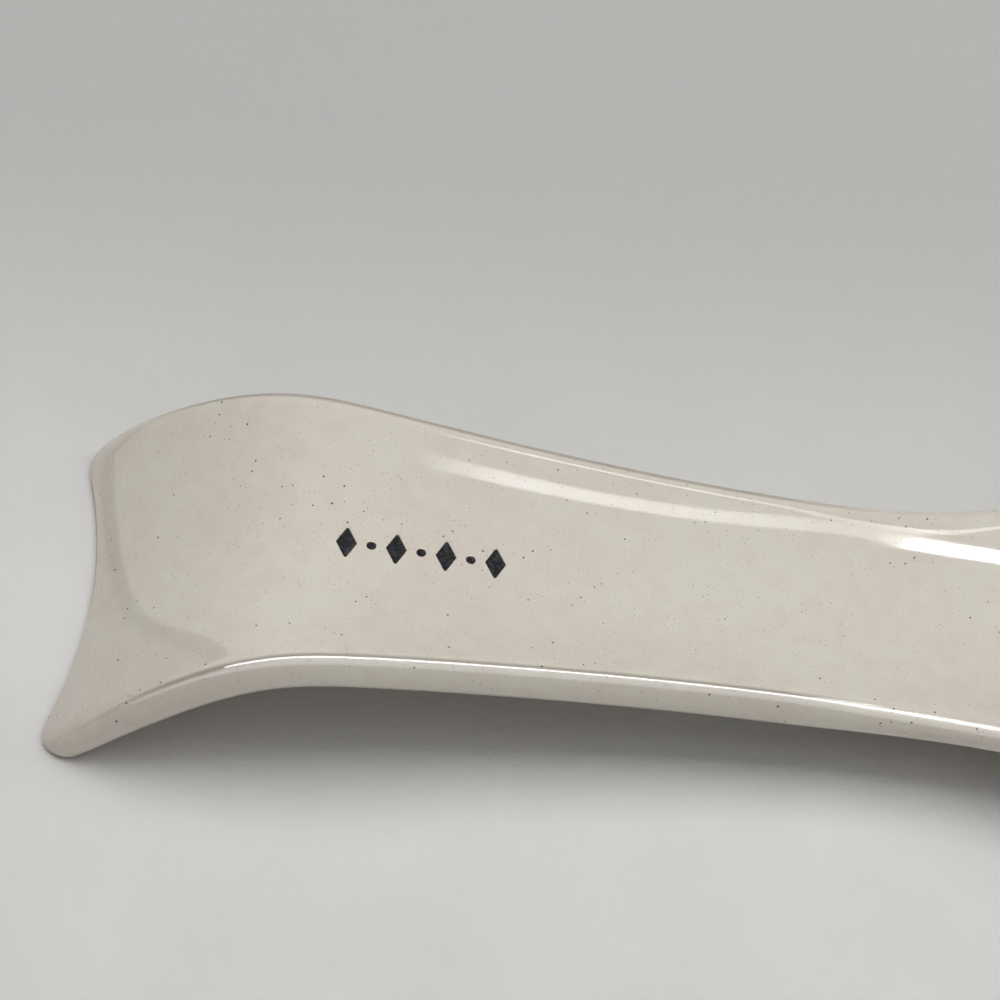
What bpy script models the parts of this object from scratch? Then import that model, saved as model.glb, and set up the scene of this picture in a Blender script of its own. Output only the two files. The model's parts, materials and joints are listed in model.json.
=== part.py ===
"""A glazed stoneware spoon rest, built as a potter builds it.

A round dish and an arched slab handle are luted together at the neck with slip, a turned foot ring
is luted under the dish, a row of marks is stamped into the handle and inlaid with black underglaze,
and one coat of glaze covers all of it except where the piece stands on the kiln shelf.

All the clay and the glaze share one form: a coarse cage, thickened and subdivided. X runs along the
handle from the toe to the far end of the dish, Y across it, and Z up from the table.
"""

import math
from collections import namedtuple

import bmesh
import bpy
import numpy as np
from mathutils import Matrix, Vector
from mathutils.geometry import interpolate_bezier

# Driving dimensions, in metres.

# Plan of the whole piece on the upper edge of its lips, with X measured from the toe.
HANDLE_LENGTH = 0.162
DISH_DIAMETER = 0.094
TOE_WIDTH = 0.0626
TOE_ROUND = 0.0043
TOE_STEP = 0.0046
FLARE_WIDTH = 0.0611
FLARE_X = 0.0097
FLARE_EASE = 0.0002
NECK_WIDTH = 0.0399
NECK_SETBACK = 0.044
NECK_EASE = 0.0480
JOIN_ANGLE = math.radians(136)

# Side view: the height of the lips above the table along the handle.
CREST_HEIGHT = 0.0247
CREST_X = 0.0376
CREST_EASE = 0.0105
LOW_HEIGHT = 0.0154
LOW_SETBACK = 0.011
LOW_EASE = 0.0358
RIM_HEIGHT = 0.0180
RIM_EASE = 0.015
TOE_RISE = 0.0048

# Section: the slab, its hollow and the dish.
WALL = 0.0061
LIP = 0.0020
RIM_LIP = 0.0053
TOE_LIP = 0.0080
TOE_SOFT = 0.028
TIP_TROUGH = 0.0042
CREST_TROUGH = 0.0064
NECK_TROUGH = 0.0047
FLOOR_RADIUS = 0.028
BLEND = 0.007

# Foot: what the piece stands on.
FOOT_HEIGHT = 0.0030
FOOT_WIDTH = 0.0050
FOOT_INSET = 0.0025
FOOT_CHAMFER = 0.0008
BASE_TRIM = 0.0016
TOE_DEPTH = 0.0018

# Coats and joints.
GLAZE = 0.0005
GAP = 0.0003
SLIP = 0.0006
SCARF_SETBACK = 0.003
SCARF_ANGLE = math.radians(45)
TOE_GLAZE_LINE = 0.0008
FOOT_GLAZE_LINE = 0.0004

# Stamped row on the handle.
MARK_COUNT = 7
MARK_PITCH = 0.0039
MARK_X = 0.0580
MARK_Y = 0.0010
DOT_DIAMETER = 0.0015
LOZENGE_WIDTH = 0.0032
LOZENGE_HEIGHT = 0.0056
MARK_RECESS = 0.0001

# Resolution of the cage and of the turned pieces.
HANDLE_ROWS = 12
DISH_ROWS = 11
COLUMNS = 8
WIDEST_INSET = 0.35
FAN_ANGLE = math.radians(50)
CURVE_STEPS = 60
TURN_STEPS = 40
DOT_SIDES = 12
LOZENGE_SIDES = 4
SMOOTH_ANGLE = math.radians(40)
MERGE = 0.00001
SNAP = 0.0002

# Worked out from the driving dimensions.
DISH_RADIUS = DISH_DIAMETER / 2
DISH_X = HANDLE_LENGTH + DISH_RADIUS
NECK_X = HANDLE_LENGTH - NECK_SETBACK
LOW_X = HANDLE_LENGTH - LOW_SETBACK
SCARF_X = HANDLE_LENGTH - SCARF_SETBACK
FLOOR_HEIGHT = FOOT_HEIGHT - BASE_TRIM + WALL
FOOT_RADIUS = FLOOR_RADIUS - FOOT_INSET

# How far subdividing the cage draws its upper edge down, and the gap between its last two rows.
EDGE_DROP = WALL / 6
END_GAP = 2 * RIM_LIP

# A row of the cage: its place and normal on the lip line, its half width, the half angle of its arc
# and how far its last column stands in from the edge, as a share of the half row.
Row = namedtuple("Row", "x z normal_x normal_z half fan inset")

# A stamped mark: its place and turn on the upper face, its half width and height and its side count.
Mark = namedtuple("Mark", "frame half_width half_height sides")

Finish = namedtuple("Finish", "name colour roughness metallic")

STONEWARE = Finish("stoneware", (0.62, 0.55, 0.46, 1.0), 0.85, 0.0)
SLIP_CLAY = Finish("slip_clay", (0.58, 0.50, 0.41, 1.0), 0.90, 0.0)
CREAM_GLAZE = Finish("cream_glaze", (0.62, 0.60, 0.54, 1.0), 0.08, 0.0)
BLACK_UNDERGLAZE = Finish("black_underglaze", (0.015, 0.015, 0.018, 1.0), 0.30, 0.0)


def clear_scene():
    for old in list(bpy.data.objects):
        bpy.data.objects.remove(old)


def new_collection(name):
    made = bpy.data.collections.new(name)
    bpy.context.scene.collection.children.link(made)
    return made


def material(finish):
    found = bpy.data.materials.get(finish.name)
    if found:
        return found
    made = bpy.data.materials.new(finish.name)
    made.use_nodes = True
    shader = made.node_tree.nodes["Principled BSDF"]
    shader.inputs["Base Color"].default_value = finish.colour
    shader.inputs["Roughness"].default_value = finish.roughness
    shader.inputs["Metallic"].default_value = finish.metallic
    return made


def add_object(name, mesh, finish, collection, parent):
    """Links a mesh as a named piece with its own finish, shaded smooth up to its sharp edges."""
    mesh.name = name
    mesh.materials.clear()
    mesh.materials.append(material(finish))
    mesh.shade_smooth()
    mesh.set_sharp_from_angle(angle=SMOOTH_ANGLE)
    made = bpy.data.objects.new(name, mesh)
    collection.objects.link(made)
    made.parent = parent
    return made


def evaluated_mesh(obj):
    """A mesh of its own holding the object as its modifiers leave it."""
    graph = bpy.context.evaluated_depsgraph_get()
    return bpy.data.meshes.new_from_object(obj.evaluated_get(graph))


# Form of the slab


def bezier_line(*knots):
    """Points along joined Bezier spans, each span given as knot, handle, handle, with a last knot."""
    points = []
    for first in range(0, len(knots) - 1, 3):
        span = [Vector(knot) for knot in knots[first : first + 4]]
        points.extend(interpolate_bezier(*span, CURVE_STEPS))
    return np.array([tuple(point) for point in points])


def distances(points):
    steps = np.linalg.norm(np.diff(points, axis=0), axis=1)
    return np.concatenate([[0.0], np.cumsum(steps)])


def lip_line():
    """The lips seen from the side: up from the toe, over the crest, down to the neck and the rim."""
    crest, low, rim = (height + EDGE_DROP for height in (CREST_HEIGHT, LOW_HEIGHT, RIM_HEIGHT))
    return bezier_line(
        (0, -TOE_DEPTH),
        (0, TOE_RISE),
        (CREST_X - CREST_EASE, crest),
        (CREST_X, crest),
        (CREST_X + CREST_EASE, crest),
        (LOW_X - LOW_EASE, low),
        (LOW_X, low),
        (LOW_X + RIM_EASE, low),
        (DISH_X - RIM_EASE, rim),
        (DISH_X, rim),
    )


def handle_outline():
    """Half of the handle's plan, from the toe out to the flare and in to the neck."""
    return bezier_line(
        (0, TOE_WIDTH / 2),
        (FLARE_X / 2, FLARE_WIDTH / 2),
        (FLARE_X / 2, FLARE_WIDTH / 2),
        (FLARE_X, FLARE_WIDTH / 2),
        (FLARE_X + FLARE_EASE, FLARE_WIDTH / 2),
        (NECK_X - NECK_EASE, NECK_WIDTH / 2),
        (NECK_X, NECK_WIDTH / 2),
    )


def dish_outline():
    """Half of the dish's plan, from the neck out and round to where the end row fans."""
    turn = np.linspace(JOIN_ANGLE, FAN_ANGLE, CURVE_STEPS)
    arc = np.stack([DISH_X + DISH_RADIUS * np.cos(turn), DISH_RADIUS * np.sin(turn)], axis=1)
    join, along = arc[0], np.array([math.sin(JOIN_ANGLE), -math.cos(JOIN_ANGLE)])
    reach = (join[0] - NECK_X) / 2
    neck = bezier_line(
        (NECK_X, NECK_WIDTH / 2),
        (NECK_X + reach, NECK_WIDTH / 2),
        tuple(join - along * reach / 2),
        tuple(join),
    )
    return np.concatenate([neck, arc[1:]])


def dish_height(radius):
    """Height of the dish's upper face: a flat floor and a wall that steepens out to the rim."""
    share = max(0.0, radius - FLOOR_RADIUS) / (DISH_RADIUS - FLOOR_RADIUS)
    return FLOOR_HEIGHT + (RIM_HEIGHT + EDGE_DROP - FLOOR_HEIGHT) * share**2


def smooth_min(a, b):
    """The lower of two heights, eased over BLEND where they cross."""
    ease = max(0.0, BLEND - abs(a - b)) / BLEND
    return min(a, b) - ease**3 * BLEND / 6


def handle_rows():
    """Rows across the handle, from the toe to the neck."""
    line, plan = lip_line(), handle_outline()
    along = distances(line)
    tangent = np.gradient(line, axis=0)
    tangent /= np.linalg.norm(tangent, axis=1)[:, None]
    neck = np.interp(NECK_X, line[:, 0], along)
    stations = np.concatenate([[0.0], np.linspace(TOE_STEP, neck, HANDLE_ROWS)])
    rows = []
    for station in stations:
        x, z, tx, tz = (np.interp(station, along, part) for part in (*line.T, *tangent.T))
        corner = TOE_ROUND * max(0.0, 1 - station / TOE_STEP)
        half = np.interp(x, plan[:, 0], plan[:, 1]) - corner
        lip = np.interp(station, (0, TOE_SOFT), (TOE_LIP, LIP))
        rows.append(Row(x, z, -tz, tx, half, 0.0, lip / half))
    return rows


def dish_rows():
    """Rows across the dish, which fan from straight at the neck to the arc of its far end."""
    line, plan = lip_line(), dish_outline()
    along = distances(plan)
    tangent = np.gradient(plan, axis=0)
    tangent /= np.linalg.norm(tangent, axis=1)[:, None]
    stations = np.linspace(0, along[-1] - END_GAP, DISH_ROWS)
    rows = []
    for station in (*stations[1:], along[-1]):
        x, half, tx, ty = (np.interp(station, along, part) for part in (*plan.T, *tangent.T))
        z = np.interp(x, line[:, 0], line[:, 1])
        fan = FAN_ANGLE * station / along[-1]
        crossing = math.sin(fan) * ty + math.cos(fan) * tx
        length = half / math.sin(fan) * fan
        lip = np.interp(station, (0, NECK_SETBACK / 2), (LIP, RIM_LIP))
        inset = min(lip / max(crossing, lip / length) / length, WIDEST_INSET)
        rows.append(Row(x, z, 0.0, 1.0, half, fan, inset))
    return rows


def column_shares(row):
    """Places across a row, as shares of its half length: even, then one inside each lip, then the edge."""
    half = [*np.linspace(0, 1 - row.inset, COLUMNS // 2), 1.0]
    return [-share for share in half[:0:-1]] + half


def upper_point(row, share):
    """Point of the slab's upper face at this share of a row's half length."""
    x, y = row.x, share * row.half
    if row.fan:
        radius = row.half / math.sin(row.fan)
        x += radius * (math.cos(share * row.fan) - math.cos(row.fan))
        y = radius * math.sin(share * row.fan)
    channel = NECK_WIDTH / 2 if row.fan else row.half
    depth = np.interp(x, (0, CREST_X, NECK_X), (TIP_TROUGH, CREST_TROUGH, NECK_TROUGH))
    sag = depth * (1 - (y / channel) ** 2)
    x -= row.normal_x * sag
    z = row.z - row.normal_z * sag
    dish = dish_height(math.hypot(x - DISH_X, y))
    return Vector((x, y, smooth_min(dish, z) if x < DISH_X else dish))


def build_form():
    """The outer form of the whole piece: a grid bent to the upper face, thickened and subdivided."""
    rows = handle_rows() + dish_rows()
    grid = bmesh.new()
    bmesh.ops.create_grid(grid, x_segments=len(rows) - 1, y_segments=COLUMNS, size=1)
    for vertex in grid.verts:
        row = rows[round((vertex.co.x + 1) / 2 * (len(rows) - 1))]
        column = round((vertex.co.y + 1) / 2 * COLUMNS)
        vertex.co = upper_point(row, column_shares(row)[column])
    mesh = bpy.data.meshes.new("form")
    grid.to_mesh(mesh)
    grid.free()
    form = bpy.data.objects.new("form", mesh)
    bpy.context.scene.collection.objects.link(form)
    thicken = form.modifiers.new("thicken", "SOLIDIFY")
    thicken.thickness = WALL
    thicken.offset = -1
    thicken.use_even_offset = True
    soften = form.modifiers.new("soften", "SUBSURF")
    soften.levels = soften.render_levels = 1
    return form


# Clay


def cut_away(mesh, point, normal):
    """Removes what lies on the normal's side of a plane and closes the cut with a flat face."""
    work = bmesh.new()
    work.from_mesh(mesh)
    whole = [*work.verts, *work.edges, *work.faces]
    cut = bmesh.ops.bisect_plane(work, geom=whole, plane_co=point, plane_no=normal, clear_outer=True)
    edges = [part for part in cut["geom_cut"] if isinstance(part, bmesh.types.BMEdge)]
    bmesh.ops.edgeloop_fill(work, edges=edges)
    bmesh.ops.recalc_face_normals(work, faces=work.faces)
    work.to_mesh(mesh)
    work.free()


def clay_mesh(form):
    """The form drawn in on all sides by the glaze and its gap."""
    core = bpy.data.objects.new("core", evaluated_mesh(form))
    bpy.context.scene.collection.objects.link(core)
    shrink = core.modifiers.new("shrink", "DISPLACE")
    shrink.strength = -(GLAZE + GAP)
    shrink.mid_level = 0
    mesh = evaluated_mesh(core)
    bpy.data.objects.remove(core)
    return mesh


def scarf_cut(mesh, offset, toward_dish):
    """Cuts on the scarf plane of the neck, moved by offset towards the dish."""
    normal = Vector((math.sin(SCARF_ANGLE), 0, -math.cos(SCARF_ANGLE)))
    point = Vector((SCARF_X, 0, LOW_HEIGHT)) + normal * offset
    cut_away(mesh, point, normal if toward_dish else -normal)


def build_clay(form, collection, parent):
    """The dish and the handle, each cut from the clay, and the slip in the scarf joint between them."""
    seat = SLIP / 2 + GAP
    up, down = Vector((0, 0, 1)), Vector((0, 0, -1))

    handle = clay_mesh(form)
    scarf_cut(handle, -seat, toward_dish=True)
    cut_away(handle, Vector(), down)
    add_object("handle", handle, STONEWARE, collection, parent)

    dish = clay_mesh(form)
    scarf_cut(dish, seat, toward_dish=False)
    cut_away(dish, up * FOOT_HEIGHT, down)
    add_object("dish", dish, STONEWARE, collection, parent)

    slip = clay_mesh(form)
    scarf_cut(slip, SLIP / 2, toward_dish=True)
    scarf_cut(slip, -SLIP / 2, toward_dish=False)
    add_object("neck_slip", slip, SLIP_CLAY, collection, parent)


# Foot


def turned(name, profile, finish, collection, parent):
    """A closed profile of radius and height, turned about the dish's centre."""
    work = bmesh.new()
    corners = [work.verts.new((radius, 0, height)) for radius, height in profile]
    for first, second in zip(corners, corners[1:] + corners[:1]):
        work.edges.new((first, second))
    mesh = bpy.data.meshes.new(name)
    work.to_mesh(mesh)
    work.free()
    made = add_object(name, mesh, finish, collection, parent)
    made.location.x = DISH_X
    turn = made.modifiers.new("turn", "SCREW")
    turn.steps = turn.render_steps = TURN_STEPS
    turn.use_merge_vertices = True
    turn.merge_threshold = MERGE
    return made


def build_foot(collection, parent):
    """The foot ring, and the ring of slip that lutes it under the dish."""
    outer, inner = FOOT_RADIUS, FOOT_RADIUS - FOOT_WIDTH
    slip_top = FOOT_HEIGHT - GAP
    slip_bottom = slip_top - SLIP
    top = slip_bottom - GAP
    ring = [
        (outer, top),
        (outer, FOOT_CHAMFER),
        (outer - FOOT_CHAMFER, 0),
        (inner + FOOT_CHAMFER, 0),
        (inner, FOOT_CHAMFER),
        (inner, top),
    ]
    turned("foot_ring", ring, STONEWARE, collection, parent)
    slip = [(outer, slip_top), (outer, slip_bottom), (inner, slip_bottom), (inner, slip_top)]
    turned("foot_slip", slip, SLIP_CLAY, collection, parent)


# Stamped marks and glaze


def stamped_marks(form):
    """The row of lozenges with a dot between each two, set on the form's upper face."""
    surface = form.evaluated_get(bpy.context.evaluated_depsgraph_get())
    lozenge = (LOZENGE_WIDTH / 2, LOZENGE_HEIGHT / 2, LOZENGE_SIDES)
    dot = (DOT_DIAMETER / 2, DOT_DIAMETER / 2, DOT_SIDES)
    marks = []
    for number in range(MARK_COUNT):
        x = MARK_X + (number - (MARK_COUNT - 1) / 2) * MARK_PITCH
        _, point, up, _ = surface.ray_cast(Vector((x, MARK_Y, 2 * CREST_HEIGHT)), Vector((0, 0, -1)))
        along = Vector((0, 1, 0)).cross(up).normalized()
        frame = Matrix((along, up.cross(along), up)).transposed().to_4x4()
        marks.append(Mark(Matrix.Translation(point) @ frame, *(dot if number % 2 else lozenge)))
    return marks


def prism(mark, grow, top, bottom):
    """A mark's outline, grown all round, from bottom to top along the normal of the upper face."""
    work = bmesh.new()
    bmesh.ops.create_cone(
        work, cap_ends=True, segments=mark.sides, radius1=1, radius2=1, depth=top - bottom
    )
    size = (mark.half_width + grow, mark.half_height + grow, 1)
    bmesh.ops.scale(work, verts=work.verts, vec=size)
    bmesh.ops.translate(work, verts=work.verts, vec=(0, 0, (top + bottom) / 2))
    mesh = bpy.data.meshes.new("prism")
    work.to_mesh(mesh)
    work.free()
    return mesh


def build_marks(marks, collection, parent):
    """The black underglaze that fills each stamped mark, just below the glaze's surface."""
    for number, mark in enumerate(marks, start=1):
        mesh = prism(mark, 0.0, -MARK_RECESS, -GLAZE)
        inlay = add_object(f"stamp_mark_{number}", mesh, BLACK_UNDERGLAZE, collection, parent)
        inlay.matrix_local = mark.frame


def build_glaze(form, marks, collection, cutters, parent):
    """The coat of glaze: the form as a thin skin, open at the toe, at the foot and at each mark."""
    mesh = evaluated_mesh(form)
    work = bmesh.new()
    work.from_mesh(mesh)
    middle = NECK_X
    for height, on_dish in ((TOE_GLAZE_LINE, False), (FOOT_HEIGHT + FOOT_GLAZE_LINE, True)):
        faces = [face for face in work.faces if (face.calc_center_median().x > middle) == on_dish]
        edges = {edge for face in faces for edge in face.edges}
        verts = {vert for face in faces for vert in face.verts}
        bmesh.ops.bisect_plane(
            work,
            geom=[*verts, *edges, *faces],
            plane_co=(0, 0, height),
            plane_no=(0, 0, -1),
            dist=SNAP,
            clear_outer=True,
        )
    work.to_mesh(mesh)
    work.free()
    coat = add_object("glaze_coat", mesh, CREAM_GLAZE, collection, parent)
    skin = coat.modifiers.new("skin", "SOLIDIFY")
    skin.thickness = GLAZE
    skin.offset = -1
    skin.use_even_offset = True
    for number, mark in enumerate(marks, start=1):
        mesh = prism(mark, GAP, GLAZE, -(GLAZE + GAP))
        pocket = add_object(f"pocket_{number}", mesh, CREAM_GLAZE, cutters, parent)
        pocket.matrix_local = mark.frame
        pocket.hide_render = True
        pocket.display_type = "WIRE"
    open_marks = coat.modifiers.new("open_marks", "BOOLEAN")
    open_marks.operation = "DIFFERENCE"
    open_marks.solver = "EXACT"
    open_marks.operand_type = "COLLECTION"
    open_marks.collection = cutters
    return coat


def centre_on_origin(root, coat):
    """Moves the piece so that the middle of its length stands over the origin."""
    xs = [vertex.co.x for vertex in evaluated_mesh(coat).vertices]
    root.location.x = -(min(xs) + max(xs)) / 2


def main():
    clear_scene()
    pieces = new_collection("spoon_rest")
    cutters = new_collection("cutters")
    root = bpy.data.objects.new("spoon_rest_root", None)
    pieces.objects.link(root)

    form = build_form()
    marks = stamped_marks(form)
    build_clay(form, pieces, root)
    build_foot(pieces, root)
    build_marks(marks, pieces, root)
    coat = build_glaze(form, marks, pieces, cutters, root)
    centre_on_origin(root, coat)
    bpy.data.objects.remove(form)


main()
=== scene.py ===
"""Looks of a glazed stoneware spoon rest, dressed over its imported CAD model.

The clay, the glaze, the foot and the stamped row are rebuilt finely on the sizes that the CAD solids
have, and take procedural finishes: speckled cream glaze, bare stoneware, fired slip and black
underglaze. Lengths are in metres unless a name ends in _mm or _um. Places are in the row frame: X along
the handle towards the dish, Y across it and Z up from the table.
"""

import json
import logging
import math
from collections.abc import Iterable, Iterator, Mapping, Sequence
from dataclasses import dataclass
from enum import Enum
from typing import ClassVar, NamedTuple

import bmesh
import bpy
import numpy as np
from bpy.types import AreaLight, Collection, Material, Mesh, Node, NodeTree, Object
from bpy.types import NodeSocket as Socket
from mathutils import Matrix, Vector
from mathutils.bvhtree import BVHTree
from mathutils.geometry import interpolate_bezier
from mathutils.kdtree import KDTree

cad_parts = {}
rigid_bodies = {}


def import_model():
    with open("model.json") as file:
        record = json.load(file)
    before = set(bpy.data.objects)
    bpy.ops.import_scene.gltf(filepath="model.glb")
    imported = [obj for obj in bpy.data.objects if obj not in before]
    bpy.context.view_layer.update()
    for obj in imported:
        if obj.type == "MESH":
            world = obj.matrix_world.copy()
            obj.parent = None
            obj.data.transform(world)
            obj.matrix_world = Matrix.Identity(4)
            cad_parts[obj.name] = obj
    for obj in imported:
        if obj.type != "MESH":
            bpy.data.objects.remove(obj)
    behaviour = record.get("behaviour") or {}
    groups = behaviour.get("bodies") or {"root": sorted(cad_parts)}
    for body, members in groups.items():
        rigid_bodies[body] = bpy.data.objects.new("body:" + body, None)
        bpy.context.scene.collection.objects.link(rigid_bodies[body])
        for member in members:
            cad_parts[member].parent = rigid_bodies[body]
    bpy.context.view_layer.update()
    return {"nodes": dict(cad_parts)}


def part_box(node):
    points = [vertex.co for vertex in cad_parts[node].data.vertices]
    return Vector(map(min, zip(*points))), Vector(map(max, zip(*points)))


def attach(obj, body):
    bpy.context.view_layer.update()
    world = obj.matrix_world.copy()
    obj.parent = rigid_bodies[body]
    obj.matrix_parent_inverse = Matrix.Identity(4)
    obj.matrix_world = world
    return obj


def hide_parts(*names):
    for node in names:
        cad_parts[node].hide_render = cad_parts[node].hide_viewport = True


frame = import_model()

LOG = logging.getLogger("spoon_rest")
BODY = "root"
MM = 0.001
UM = 0.000001
UP = Vector((0.0, 0.0, 1.0))
SMOOTH_ANGLE = math.radians(40)
CURVE_STEPS = 60
GLAZE_THICKNESS = 0.0005

# Levels that most of a noise pattern lies between
NOISE_SPAN = (0.35, 0.65)

# Sockets of the Mix node: two colours and their mix, and two numbers and their mix
UNDER_COLOUR, OVER_COLOUR, MIXED_COLOUR = 6, 7, 2
FIRST_NUMBER, SECOND_NUMBER, MIXED_NUMBER = 2, 3, 0

Colour = tuple[float, float, float, float]
Inputs = Mapping[str | int, Socket | float | Colour]


# Nodes and colours


def linear(code: str) -> Colour:
    """Turns an sRGB hex colour into linear light.

    Args:
        code: Colour written as "#rrggbb".

    Returns:
        Linear red, green and blue with an alpha of 1.
    """
    shares = [int(code[first : first + 2], 16) / 255 for first in (1, 3, 5)]
    red, green, blue = (
        share / 12.92 if share <= 0.04045 else ((share + 0.055) / 1.055) ** 2.4 for share in shares
    )
    return (red, green, blue, 1.0)


def per_mm(size_mm: float) -> float:
    """Gives the texture scale at which one feature measures this many millimetres."""
    return 1 / (size_mm * MM)


def feed(tree: NodeTree, node: Node, inputs: Inputs) -> None:
    """Sets a node's input sockets, or links them to the output sockets that feed them.

    Args:
        tree: Node tree that holds the node.
        node: Node that is fed.
        inputs: Values or output sockets, by the names or numbers of the input sockets.
    """
    for socket, value in inputs.items():
        if isinstance(value, Socket):
            tree.links.new(value, node.inputs[socket])
        else:
            node.inputs[socket].default_value = value


def add_node(tree: NodeTree, kind: str, inputs: Inputs | None = None, **settings: str | bool) -> Node:
    """Adds a shader node with its settings, values and links.

    Args:
        tree: Node tree that takes the node.
        kind: Kind of node, without the "ShaderNode" that its type name starts with.
        inputs: Values for the input sockets, or the output sockets that feed them.
        settings: Attributes of the node itself.

    Returns:
        The new node.
    """
    node = tree.nodes.new("ShaderNode" + kind)
    for name, value in settings.items():
        setattr(node, name, value)
    feed(tree, node, inputs or {})
    return node


def layered(tree: NodeTree, ground: str, coats: Iterable[tuple[Socket, str]]) -> Socket | Colour:
    """Lays coats of colour over a ground, each over the ones before it.

    Args:
        tree: Node tree of the material.
        ground: Colour of the ground.
        coats: For each coat, the socket of how far it hides what lies under it, and its colour.

    Returns:
        Socket of the colour.
    """
    colour = linear(ground)
    for cover, coat in coats:
        inputs = {"Factor": cover, UNDER_COLOUR: colour, OVER_COLOUR: linear(coat)}
        colour = add_node(tree, "Mix", inputs, data_type="RGBA").outputs[MIXED_COLOUR]
    return colour


# Finishes


@dataclass(frozen=True)
class Finish:
    """A mineral surface: glaze, fired clay or plaster.

    Attributes:
        name: Name of the finish.
        slot: Material slot of the record that the finish belongs to; not used.
        ior: Index of refraction of the surface.
    """

    name: str
    slot: str
    ior: float

    def material(self) -> Material:
        """Builds the material of this finish, or finds it if it is built.

        Returns:
            The material with its nodes.
        """
        found = bpy.data.materials.get(self.name)
        if found:
            return found
        made = bpy.data.materials.new(self.name)
        made.use_nodes = True
        tree = made.node_tree
        place = add_node(tree, "TexCoord").outputs["Object"]
        feed(tree, tree.nodes["Principled BSDF"], {"IOR": self.ior, **self.surface(tree, place)})
        return made

    def surface(self, tree: NodeTree, place: Socket) -> Inputs:
        """Adds the nodes that colour and roughen the surface.

        Args:
            tree: Node tree of the material.
            place: Socket that gives the place on the object.

        Returns:
            What feeds the shader.
        """
        raise NotImplementedError


@dataclass(frozen=True)
class Specks:
    """Iron grains that melted through the glaze, scattered through the thickness of the ware.

    Attributes:
        cell_mm: Mean distance between two grains.
        radius_mm: Radius of the largest grains.
        thin_share: Share of the grains that show where they lie thinnest.
        dense_share: Share of the grains that show where they gather.
        gather_mm: Size of the patches in which the grains gather.
        strength: How far a grain hides the glaze around it.
        colour: Colour of the grain.
        SMALLEST: Size of the smallest grains, as a share of the largest.
        CORE: Share of a grain's radius that is as dark as its middle.
    """

    SMALLEST: ClassVar[float] = 0.45
    CORE: ClassVar[float] = 0.55

    cell_mm: float
    radius_mm: float
    thin_share: float
    dense_share: float
    gather_mm: float
    strength: float
    colour: str

    def cover(self, tree: NodeTree, place: Socket) -> Socket:
        """Works out how far the grains hide the glaze.

        Args:
            tree: Node tree of the material.
            place: Socket that gives the place on the object.

        Returns:
            Socket of the cover, from 0 to the strength of the grains.
        """
        grains = add_node(tree, "TexVoronoi", {"Vector": place, "Scale": per_mm(self.cell_mm)})
        chance = add_node(tree, "SeparateColor", {"Color": grains.outputs["Color"]})
        gather = add_node(tree, "TexNoise", {"Vector": place, "Scale": per_mm(self.gather_mm)})
        bar = add_node(
            tree,
            "MapRange",
            {
                "Value": gather.outputs[0],
                "From Min": NOISE_SPAN[0],
                "From Max": NOISE_SPAN[1],
                "To Min": 1 - self.thin_share,
                "To Max": 1 - self.dense_share,
            },
        )
        shown = add_node(
            tree, "Math", {0: chance.outputs["Red"], 1: bar.outputs["Result"]}, operation="GREATER_THAN"
        )
        size = add_node(tree, "MapRange", {"Value": chance.outputs["Green"], "To Min": self.SMALLEST})
        reach = add_node(
            tree, "Math", {0: grains.outputs["Distance"], 1: size.outputs["Result"]}, operation="DIVIDE"
        )
        edge = self.radius_mm / self.cell_mm
        grain = add_node(
            tree,
            "MapRange",
            {
                "Value": reach.outputs[0],
                "From Min": edge,
                "From Max": edge * self.CORE,
                "To Max": self.strength,
            },
            interpolation_type="SMOOTHSTEP",
        )
        cover = add_node(
            tree, "Math", {0: grain.outputs["Result"], 1: shown.outputs[0]}, operation="MULTIPLY"
        )
        return cover.outputs[0]


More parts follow.
